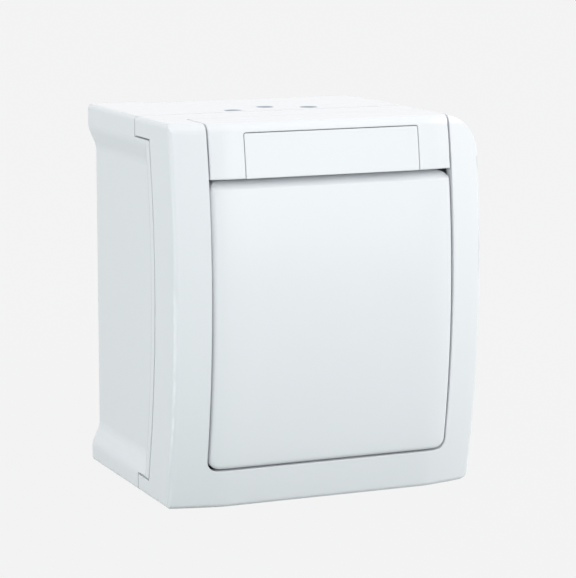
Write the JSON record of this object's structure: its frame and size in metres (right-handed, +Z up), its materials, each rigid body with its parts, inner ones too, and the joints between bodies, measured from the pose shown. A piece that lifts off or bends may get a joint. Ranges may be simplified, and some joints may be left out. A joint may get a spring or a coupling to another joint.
{
  "type": "outdoor_light_switch",
  "caption": "White surface-mounted weatherproof rocker switch with a bowed cover frame, a label lid above the rocker and a waisted wall box.",
  "frame": {"origin": "middle of the back, on the wall plane", "axes": "X to the right seen from the front, Y from the front into the wall, Z up"},
  "size_m": [0.068, 0.0542, 0.0786],
  "materials": {
    "white_plastic": "glossy moulded thermoplastic",
    "lid_plastic": "glossy moulded lid",
    "mechanism_plastic": "satin moulded thermoset",
    "cradle_plastic": "satin moulded plastic",
    "seal_rubber": "soft grey seal",
    "zinc_steel": "zinc plated",
    "spring_steel": "bright drawn wire",
    "contact_brass": "bright stamped brass"
  },
  "bodies": {
    "housing": {"rear_housing": "white_plastic", "cover_frame": "white_plastic", "label_band": "white_plastic", "label_lid": "lid_plastic", "mechanism_plate": "mechanism_plastic", "mechanism_base": "mechanism_plastic", "cable_grommet": "seal_rubber", "wall_seal_rings": "seal_rubber", "cover_gasket": "seal_rubber", "stem_boot": "seal_rubber", "sealing_collar": "seal_rubber", "cover_screws": "zinc_steel", "mechanism_screws": "zinc_steel", "terminal_screws": "zinc_steel", "common_contact": "contact_brass", "fixed_contact": "contact_brass", "terminal_clamps": "contact_brass", "loop_terminal": "contact_brass"},
    "rocker": {"rocker": "white_plastic", "rocker_cradle": "cradle_plastic"},
    "plunger": {"plunger": "cradle_plastic", "plunger_spring": "spring_steel"},
    "blade": {"moving_contact": "contact_brass"}
  },
  "joints": [
    {"name": "rocker_hinge", "type": "hinge", "parent": "housing", "child": "rocker", "pos_m": [0, -0.048, -0.0015], "axis": [1, 0, 0], "range_deg": [0, 5.5]},
    {"name": "plunger_slide", "type": "slide", "parent": "rocker", "child": "plunger", "axis": [0, -0.9988, 0.048], "range_m": [0, 0.0008], "stiffness_N_per_m": 300, "springref_m": -0.001},
    {"name": "blade_hinge", "type": "hinge", "parent": "housing", "child": "blade", "pos_m": [0, -0.021, -0.0015], "axis": [1, 0, 0], "range_deg": [-12.01, 0]}
  ],
  "couplings": [
    {"joint": "blade_hinge", "follows": "rocker_hinge", "ratio": -2.1818}
  ]
}
